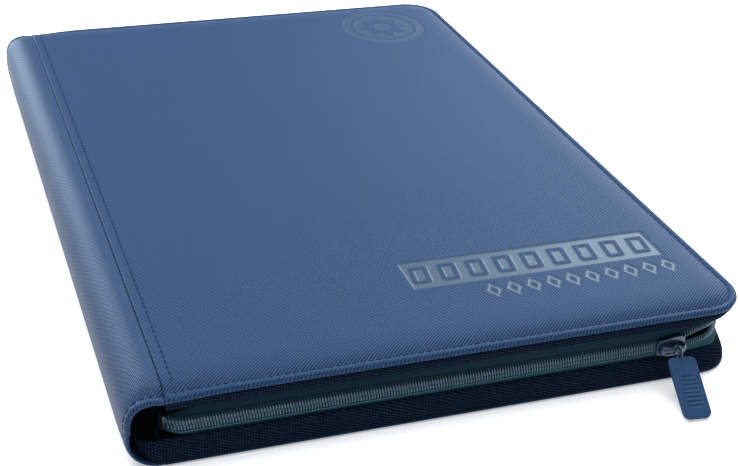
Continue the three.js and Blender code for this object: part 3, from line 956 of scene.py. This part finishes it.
FRONT_STRIP = [
    (1.1, 28.95, 0), (0.75, 28.6, 1), (0.65, 27.6, 1), (0.7, 26.4, 1), (0.9, 25.3, 1), (1.3, 24.9, 0),
    (1.6, 25.3, 0), (1.7, 27.4, 0), (1.8, 29.3, 0), (1.5, 29.3, 0),
]
REAR_STRIP = [
    (0.9, 1.0, 0), (0.45, 1.25, 1), (0.15, 2.2, 1), (0.05, 3.6, 1), (0.08, 5.2, 1),
    (0.3, 7.0, 1), (0.7, 8.8, 1), (1.15, 10.4, 1), (1.5, 11.2, 1), (1.85, GUSSET_TOP, 0),
    (2.2, 11.2, 0), (2.25, 8.6, 0), (2.25, 4.7, 0), (1.9, 2.4, 0), (1.3, 1.5, 0),
]
wall_strip("front_ribbed_tape", "front_cover", "front_edge_tape", FRONT_STRIP, front_lean)
wall_strip("rear_ribbed_gusset", "rear_cover", "rear_edge_tape", REAR_STRIP, rear_lean)


def end_gusset(name, side):
    """The gusset cloth going on past the seam and turning in, inside the spine's open end."""
    length = 12.9
    share = np.linspace(0, 1, 48)
    x = SEAM + 0.45 - length * share
    reach = np.clip(BACK + SPINE_R - x, 0, SPINE_R - 1.8)
    floor_z = SPINE_R - np.sqrt((SPINE_R - 1.1) ** 2 - reach**2)
    top_z = np.maximum(GUSSET_TOP - 1.0 * share, floor_z + 0.3)
    levels = np.linspace(0, 1, 9)
    z = floor_z[:, None] + (top_z - floor_z)[:, None] * levels[None, :]
    strip_height = [point[1] for point in REAR_STRIP[1:9]]
    strip_depth = [point[0] for point in REAR_STRIP[1:9]]
    face = np.interp(z, strip_height, strip_depth) + 7.5 * (share**2.4)[:, None]
    wave = 0.1 * np.cos(2 * math.pi * share * length / RIB)[:, None]
    sheets = []
    for thick in (0.0, 0.7):
        y = side * (FAR - face - 0.06 + wave - thick)
        sheets.append(np.stack([np.broadcast_to(x[:, None], z.shape), y, z], -1))
    points, faces = two_sheets(*sheets)
    piece = mesh_piece(name, points, faces, ribbed_navy, None, points[:, [0, 2]])
    sharpen(piece)
    folded(piece, REAR_FOLD, "edge_tape")


end_gusset("near_end_gusset", -1)
end_gusset("far_end_gusset", 1)


def zip_tape(name, body, node, upper):
    """A zip tape: its chain edge moves with the chain, its sewn edge stays beside the cover."""
    s = np.linspace(0, ZIP.length, int(ZIP.length / 0.8) + 1)[:, None]
    levels = np.linspace(0, 1, 9)
    edge, sewn = (ZIP_Z + 0.45, 29.2) if upper else (ZIP_Z - 0.45, 5.1)
    to_end = np.minimum(s, ZIP.length - s)
    narrow = 0.3 + 0.7 * smoothstep(to_end, 0, 15)
    height = edge + (sewn - edge) * levels * narrow + lift(s, upper) * (1 - levels)
    hollow = 4.6 if upper else 1.2
    away = hollow * smoothstep(to_end, 150, 50) * levels**1.8
    slack = 0.5 * np.sin(math.pi * levels) * (1 + 1.5 * corner_pull(s, ZIP))
    depth = 3.0 + zip_recess(s) * (1 - 0.55 * levels) + away - slack
    rings = np.concatenate([depth, depth[:, ::-1] + 0.55], 1)
    heights = np.concatenate([height, height[:, ::-1]], 1)
    flat, faces = sweep(along_wall(ZIP, s, rings, heights))
    across = np.concatenate([levels, levels[::-1]]) * abs(sewn - edge)
    cloth = zip_weave if upper else low_weave_painted_lighter
    piece = mesh_piece(name, flat, faces, cloth, body, np.stack(np.broadcast_arrays(s, across), -1))
    # Painted shade: the upper tape goes near black towards its sewn edge, in the fold under the cover, near
    # both ends of the zip.
    point_values(piece, "painted_fold_shade", smoothstep(across, 5.6, 7.4) * smoothstep(to_end, 190, 90) * upper)
    sharpen(piece)
    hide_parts(node)


zip_tape("upper_zip_tape_cloth", "front_cover", "upper_zip_tape", True)
zip_tape("lower_zip_tape_cloth", "rear_cover", "lower_zip_tape", False)

# ---- coil chains ----

TOOTH = 1.14  # from one turn of the coil to the next
WIRE = 0.25  # radius of the coil's wire
# One turn of the coil: depth, height over the mid line, and share of the turn's advance along the zip.
UPPER_TURN = [
    (2.65, -0.5, 0.36), (2.2, -0.05, 0.31), (1.86, 0.5, 0.24), (1.76, 1.1, 0.15), (1.9, 1.7, 0.07),
    (2.25, 2.1, 0.03), (2.65, 2.15, 0.06), (2.95, 1.6, 0.3), (3.0, 0.4, 0.75), (2.9, -0.5, 1.18),
]
LOWER_TURN = [
    (2.65, 0.1, 0.0), (2.2, -0.4, 0.05), (1.86, -0.95, 0.12), (1.76, -1.55, 0.2), (1.9, -2.1, 0.27),
    (2.25, -2.5, 0.32), (2.65, -2.55, 0.36), (2.95, -2.0, 0.46), (3.0, -0.9, 0.7), (2.9, 0.0, 0.9),
]


def round_rings(line, tangent, side, radius, sides):
    """Rings of points round a line: (stations, sides, 3)."""
    tangent = tangent / np.linalg.norm(tangent, axis=1)[:, None]
    side = side - tangent * np.sum(side * tangent, 1)[:, None]
    side /= np.linalg.norm(side, axis=1)[:, None]
    up = np.cross(tangent, side)
    turn = (2 * math.pi * np.arange(sides) / sides)[:, None]
    ring = side[:, None, :] * np.cos(turn) + up[:, None, :] * np.sin(turn)
    return line[:, None, :] + ring * radius


def coil_chain(name, body, node, upper, offset):
    """One side of the zip: a nylon wire wound into a flattened coil, one turn a tooth."""
    turns = int((ZIP.length - 4) / TOOTH)
    loop = np.array(UPPER_TURN if upper else LOWER_TURN)
    s = (2 + offset + (np.arange(turns)[:, None] + loop[None, :, 2]) * TOOTH).reshape(-1)
    depth = np.tile(loop[:, 0], turns) + zip_recess(s)
    height = ZIP_Z + np.tile(loop[:, 1], turns) + lift(s, upper)
    line = along_wall(ZIP, s, depth, height)
    rings = round_rings(line, np.gradient(line, axis=0), along_directions(ZIP, s), WIRE, 6)
    piece = mesh_piece(name, *sweep(rings), coil_nylon, body)
    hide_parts(node)


coil_chain("upper_coil_loops", "front_cover", "upper_zip_coil", True, 0.0)
coil_chain("lower_coil_loops", "rear_cover", "lower_zip_coil", False, TOOTH / 2)


def coil_stitches(name, body, upper, material):
    """The thread that sews a coil to its tape."""
    count = int((ZIP.length - 5) / TOOTH)
    s = 2.5 + (np.arange(count) + 0.5) * TOOTH
    depth = 2.35 + zip_recess(s)
    height = ZIP_Z + (3.0 if upper else -3.45) + lift(s, upper)
    points = along_wall(ZIP, s, depth, height)
    along = along_directions(ZIP, s) + np.array([0, 0, 0.35])
    _, outward = ZIP.at(s)
    ups = np.concatenate([outward, np.zeros((count, 1))], -1)
    made = stitch_row(points, along, ups, 0.85, 0.3, SEED + 4)
    piece = mesh_piece(name, *made, material, body)


coil_stitches("upper_coil_stitches", "front_cover", True, dark_thread)
coil_stitches("lower_coil_stitches", "rear_cover", False, tape_thread)


def zip_stop(name, body, node, s, low, high):
    """A small crimped block over the end of a chain, turned with it."""
    at = np.array([s - 1.1, s + 1.1])
    depth = 2.3 + zip_recess(at)
    ends = along_wall(ZIP, at, depth, np.zeros(2))[:, :2]
    along = (ends[1] - ends[0]) / np.linalg.norm(ends[1] - ends[0])
    out = np.array([along[1], -along[0]])
    corners = []
    for z in (low, high):
        for a, b in ((-1.1, -1.0), (1.1, -1.0), (1.1, 1.0), (-1.1, 1.0)):
            corners.append([*(ends.mean(0) + along * a + out * b), z])
    faces = [(0, 1, 2, 3), (4, 5, 6, 7), (0, 1, 5, 4), (1, 2, 6, 5), (2, 3, 7, 6), (3, 0, 4, 7)]
    piece = mesh_piece(name, corners, faces, stop_paint, body)
    bevel(piece, 0.45, 3)
    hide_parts(node)


far_end = ZIP.length - 1.4
zip_stop("near_stop", "rear_cover", "zip_bottom_stop", 1.4, ZIP_Z - 2.9, ZIP_Z + 2.9)
zip_stop("far_stop_lower", "rear_cover", "lower_zip_top_stop", far_end, ZIP_Z - 4.1, ZIP_Z - 1.2)
zip_stop("far_stop_upper", "front_cover", "upper_zip_top_stop", far_end, ZIP_Z + 2.2, ZIP_Z + 5.2)

# ---- slider and puller ----


def extruded(outline, thickness):
    """Points and faces of a flat outline (x, z) with a thickness along y, from 0 to thickness."""
    count = len(outline)
    points = [(x, 0.0, z) for x, z in outline] + [(x, thickness, z) for x, z in outline]
    faces = [tuple(range(count)), tuple(range(2 * count - 1, count - 1, -1))]
    for i in range(count):
        j = (i + 1) % count
        faces.append((i, i + count, j + count, j))
    return np.array(points, float), faces


def arc_points(cx, cz, radius, start, end, steps):
    """Points of an arc in the XZ plane, by its angles in degrees."""
    angles = np.radians(np.linspace(start, end, steps))
    return [(cx + radius * math.cos(a), cz + radius * math.sin(a)) for a in angles]


def slider_plate(half_x, half_z):
    """The slider's outline: narrow where the closed chain leaves it, wide where the two sides enter."""
    outline = arc_points(half_x - 2.2, -half_z + 2.2, 2.2, -90, 0, 7)
    outline += arc_points(half_x - 2.2, half_z - 2.2, 2.2, 0, 90, 7)
    outline += [(0.5, half_z - 0.1), (-half_x + 3.2, half_z - 1.1)]
    outline += arc_points(-half_x + 1.4, half_z - 2.6, 1.4, 90, 180, 5)
    outline += arc_points(-half_x + 1.4, -half_z + 2.6, 1.4, 180, 270, 5)
    outline += [(-half_x + 3.2, -half_z + 1.1), (0.5, -half_z + 0.1)]
    return outline


def slider_piece():
    """The slider: a front and a back plate joined by a wedge, with a flange along the lower side."""
    low, high = SLIDER_LOW, SLIDER_HIGH
    half_x, half_z = (high[0] - low[0]) / 2, (high[2] - low[2]) / 2
    outline = slider_plate(half_x, half_z)
    front = extruded(outline, 1.25)
    back = extruded([(x * 0.96, z * 0.96) for x, z in outline], 1.0)
    back[0][:, 1] += high[1] - low[1] - 1.0
    post = [(half_x - 4.5, 0), (half_x - 2.5, -0.5), (half_x - 0.8, -0.5)]
    post += [(half_x - 0.8, 0.5), (half_x - 2.5, 0.5)]
    wedge = extruded(post, high[1] - low[1] - 1.6)
    wedge[0][:, 1] += 0.8
    rail = [(-3.6, -half_z), (3.4, -half_z), (3.4, 0.75 - half_z), (-3.6, 0.75 - half_z)]
    flange = extruded(rail, 0.95)
    flange[0][:, 1] += 1.1
    points, faces = join_parts([front, back, wedge, flange])
    points += np.array([SLIDER_X, low[1], (low[2] + high[2]) / 2])
    piece = mesh_piece("zip_slider", points, faces, zip_paint, "slider")
    bevel(piece, 0.28, 3, 30)
    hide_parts("slider_body")


def crown_piece():
    """The slider's crown: a rounded strap humping over the body, with a slot for the link at one end."""
    low, high = box_mm("slider_bridge")
    middle = (low + high) / 2
    half = (high[0] - low[0]) / 2
    reach = high[1] - low[1] - 0.9
    rings = []
    for angle in np.linspace(math.pi, 0, 41):
        along, rise = math.cos(angle), math.sin(angle)
        hump = min(rise**0.5 * 1.06, 1.0)
        wide = 1.8 + 0.2 * rise
        ring = []
        for turn in np.linspace(0, 2 * math.pi, 36, endpoint=False):
            across = math.cos(turn) * wide
            bulge = 0.4 * (1 - (across / wide) ** 2)
            slot = 0.9 * math.exp(-(((across + 0.5) / 0.42) ** 2)) * float(smoothstep(along, 0.0, 0.3))
            deep = math.sin(turn) * 0.55 + bulge - (slot if math.sin(turn) > 0 else 0.0)
            x = middle[0] + half * 0.92 * along + deep * along * 0.85
            y = high[1] + 0.3 - reach * hump - deep * rise**0.6
            ring.append((x, y, middle[2] + across))
        rings.append(ring)
    flat, faces = sweep(np.array(rings))
    piece = mesh_piece("zip_slider_crown", flat, faces, zip_paint, "slider")
    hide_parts("slider_bridge")


slider_piece()
crown_piece()

PIVOT = np.array(joint("puller_swing")["pos_m"]) / MM
PULL_SWING = 0.575  # how far the puller leans out at rest, in radians
TAB_YAW = -0.08  # and how far its tab is turned on the link
LINK_INNER, LINK_WIRE, LINK_STRAIGHT = 2.3, 1.1, 2.0
TAB_FROM, TAB_TO, TAB_WIDTH, TAB_THICK = 2.5, 28.5, 12.3, 2.0  # from and to: away from the pivot
TAB_LONG = TAB_TO - TAB_FROM
SHOULDER, TIP = 2.4, 3.0  # radii of the tab's corners


def puller_place(points, yaw=0.0):
    """From the puller's own frame, length along -Y from its pivot, to where it leans."""
    points = np.asarray(points, float)
    turn_at = np.array([0, LINK_STRAIGHT + LINK_INNER + LINK_WIRE / 2, 0])
    c, s = math.cos(yaw), math.sin(yaw)
    moved = (points + turn_at) @ np.array([[c, s, 0], [-s, c, 0], [0, 0, 1]]) - turn_at
    c, s = math.cos(PULL_SWING), math.sin(PULL_SWING)
    return moved @ np.array([[1, 0, 0], [0, c, s], [0, -s, c]]) + PIVOT


def link_piece():
    """A wire loop through the crown, drawn together where it goes into the tab."""
    middle = LINK_INNER + LINK_WIRE / 2
    line = arc_points(0, 0, middle, 0, 180, 15)
    line += arc_points(0, -LINK_STRAIGHT - LINK_INNER, 0.4, 180, 360, 9)
    line = np.array([(0, y, x) for x, y in line])
    after = np.roll(line, -1, 0) - np.roll(line, 1, 0)
    side = np.tile(np.array([1.0, 0, 0]), (len(line), 1))
    rings = round_rings(line, after, side, LINK_WIRE / 2, 10)
    flat, faces = sweep(np.concatenate([rings, rings[:1]]), capped=False)
    first, kept = merged(flat, faces)
    piece = mesh_piece("puller_link", puller_place(flat[first]), kept, zip_paint, "puller")
    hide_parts("pull_link")


def tab_half_width(length):
    """Half the tab's width at a distance from its top edge."""
    top = np.clip(SHOULDER - length, 0, SHOULDER)
    low = np.clip(length - TAB_LONG + TIP, 0, TIP)
    cut = SHOULDER - np.sqrt(SHOULDER**2 - top**2) + TIP - np.sqrt(TIP**2 - low**2)
    return TAB_WIDTH / 2 - cut


def tab_edge_distance(x, length):
    """Distance in from the tab's outline."""
    radius = np.where(length < TAB_LONG / 2, SHOULDER, TIP)
    return -box_distance(x, length, (-TAB_WIDTH / 2, TAB_WIDTH / 2, 0, TAB_LONG), radius)


def grip_grooves(x, length):
    """Depth share of the plain grip: a row of short rounded grooves along the middle of the tab."""
    depth = np.zeros_like(x)
    for i in range(8):
        centre = 8.6 + 1.75 * i
        wide = 2.9 if 0 < i < 7 else 2.1
        away = np.hypot(np.maximum(np.abs(x) - wide, 0), length - centre)
        depth = np.maximum(depth, smoothstep(away, 0.62, 0.18))
    return depth


def tab_piece():
    """The moulded tab: rounded edges, a shallow grip, and a thinner top where the link goes in."""
    turn = 1 - np.cos(np.linspace(0, math.pi / 2, 12))
    body = np.arange(3.2, TAB_LONG - 3.4, 0.28)
    lengths = np.concatenate([2.9 * turn, body, (TAB_LONG - 3.2 * turn)[::-1]])
    lengths = np.unique(np.round(lengths, 3))
    across = np.sin(np.linspace(-math.pi / 2, math.pi / 2, 41))
    length, share = np.meshgrid(lengths, across, indexing="ij")
    x = share * tab_half_width(length)
    inset = np.clip(tab_edge_distance(x, length), 0, None)
    thin = 0.9 + 0.1 * smoothstep(length, 2.6, 6.0)
    half = TAB_THICK / 2 * thin * (0.25 + 0.75 * half_ellipse(inset, 1, 0.8))
    face = half - 0.34 * grip_grooves(x, length)
    sheets = [np.stack([x, -TAB_FROM - length, sign * face], -1) for sign in (1, -1)]
    points, faces = two_sheets(*sheets)
    piece = mesh_piece("puller_tab", puller_place(points, TAB_YAW), faces, tab_plastic, "puller")
    sharpen(piece, 70)
    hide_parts("pull_tab")


link_piece()
tab_piece()

# ---- pages ----

POCKETS = 3  # across a page, and up it
WELD = 2.0  # width of the weld strips round the pockets


def page_lines(low, high):
    """Sample lines across the pockets and the weld strips between them."""
    pitch = (high - low - WELD) / POCKETS
    beside = [0, WELD * 0.35, WELD, WELD + 1.2, WELD + 6, pitch * 0.5, pitch - 5, pitch - 1.0]
    lines = [low + i * pitch + place for i in range(POCKETS) for place in beside]
    return np.unique(np.round(lines + [high - WELD, high - WELD * 0.35, high], 3))


def weld_share(values, low, high):
    """1 on a weld strip, 0 in a pocket."""
    place = (values - low) % ((high - low - WELD) / POCKETS)
    on = (place <= WELD + 0.01) | (values > high - WELD - 0.01) | (values < low)
    return on.astype(float)


ROOT = joint("leaf_01_turn")["pos_m"][0] / MM  # where the pages' joints are
POCKET_START = box_mm("leaf_01")[0][0] + 4


def leaf_piece(name):
    """A page: a thin film with pockets that stand a little off its welds."""
    low, high = box_mm(name)
    level = (low[2] + high[2]) / 2
    root = np.linspace(ROOT - 0.2, POCKET_START - 1.5, 8)
    xs = np.concatenate([np.round(root, 3), page_lines(POCKET_START, high[0])])
    gx, gy = np.meshgrid(xs, page_lines(low[1], high[1]), indexing="ij")
    weld = np.maximum(weld_share(gx, POCKET_START, high[0]), weld_share(gy, low[1], high[1]))
    weld = np.where(gx < POCKET_START, 0.6, weld)
    half = np.where(weld > 0.3, 0.10, 0.24)
    half = half + 0.03 * np.sin(gx / 9.0) * np.sin(gy / 13.0) * (weld < 0.3)
    top = np.stack([gx, gy, level + half], -1)
    bottom = np.stack([gx, gy, level - half], -1)
    points, faces = two_sheets(top, bottom)
    piece = mesh_piece(name + "_pockets", points, faces, film, None, points[:, :2], smooth=False)
    point_values(piece, "weld", np.stack([weld, weld]))
    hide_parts(name)
    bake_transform(piece)


for node in sorted(n for n in frame["nodes"] if n.startswith("leaf_")):
    leaf_piece(node)

# ---- CAD nodes that keep their shape ----

KEPT = {"page_binding_strip": film, "spine_board": lining_cloth}
for cover in ("front_cover", "rear_cover"):
    KEPT |= {cover + "_foam": foam, cover + "_board": board, cover + "_lining": lining_cloth}
for node, material in KEPT.items():
    kept = frame["nodes"][node]
    kept.data.materials.clear()
    kept.data.materials.append(material)
    if node.endswith("strip"):
        bevel(kept, 0.3, 2)

# ---- floor, light and camera ----


def floor_piece():
    """The floor, a little brighter than its light makes it."""
    n = Nodes("pale floor")
    speck = n.noise(n.body_place(), 40.0, 3.0)
    n.set(Base_Color=n.mix(speck, (0.86, 0.87, 0.88), (0.9, 0.905, 0.91)), Roughness=n.range(speck, 0.6, 0.7))
    n.set(Specular_IOR_Level=0.2, Emission_Color=(1, 1, 1, 1), Emission_Strength=0.34)
    size, level = 4000.0, -0.15
    points = [(-size, -size, level), (size, -size, level), (size, size, level), (-size, size, level)]
    floor = mesh_piece("floor", points, [(0, 1, 2, 3)], n.material, smooth=False, fix=False)


floor_piece()


def area_light(name, place, aim, size, power, colour=(1, 1, 1)):
    """A soft box at a place, turned to its aim; in metres and watts."""
    light = bpy.data.lights.new(name, "AREA")
    light.shape = "RECTANGLE"
    light.size, light.size_y = size
    light.energy = power
    light.color = colour
    lamp = bpy.data.objects.new(name, light)
    bpy.context.scene.collection.objects.link(lamp)
    lamp.location = Vector(place)
    lamp.rotation_euler = (Vector(aim) - Vector(place)).to_track_quat("-Z", "Y").to_euler()


area_light("top softbox", (-0.05, 0.45, 1.6), (0, 0.0, 0), (1.9, 1.9), 66)
area_light("right back softbox", (1.0, 0.8, 0.6), (0.08, 0, 0.02), (0.75, 0.7), 19, (0.74, 0.87, 1.0))
area_light("left back softbox", (-0.7, 1.45, 0.16), (-0.12, 0.05, 0.02), (0.45, 0.3), 15, (0.66, 0.82, 1.0))
area_light("front fill", (0.3, -1.5, 0.9), (0, -0.1, 0), (1.2, 0.8), 1.0)

world = bpy.data.worlds.new("studio")
bpy.context.scene.world = world
world.use_nodes = True
world.node_tree.nodes["Background"].inputs["Color"].default_value = (0.82, 0.91, 1.0, 1)
world.node_tree.nodes["Background"].inputs["Strength"].default_value = 0.42
bpy.context.scene.view_settings.view_transform = "Standard"

CAMERA_PLACE = (-193.15, -541.78, 321.79)
CAMERA_YAW, CAMERA_PITCH, CAMERA_ROLL = 0.323, 0.533, 0.042
LENS = 64.3
SIDE_SHIFT = 0.107


def camera():
    """The camera, looking along +Y and turned to the right by its yaw, down by its pitch."""
    data = bpy.data.cameras.new("camera")
    data.sensor_width = 36
    data.lens = LENS
    data.shift_x = SIDE_SHIFT
    data.clip_start, data.clip_end = 0.02, 20
    lens = bpy.data.objects.new("camera", data)
    bpy.context.scene.collection.objects.link(lens)
    turn = Matrix.Rotation(-CAMERA_YAW, 4, "Z") @ Matrix.Rotation(math.pi / 2 - CAMERA_PITCH, 4, "X")
    turn = turn @ Matrix.Rotation(CAMERA_ROLL, 4, "Z")
    lens.matrix_world = Matrix.Translation(Vector(CAMERA_PLACE) * MM) @ turn
    bpy.context.scene.camera = lens


camera()
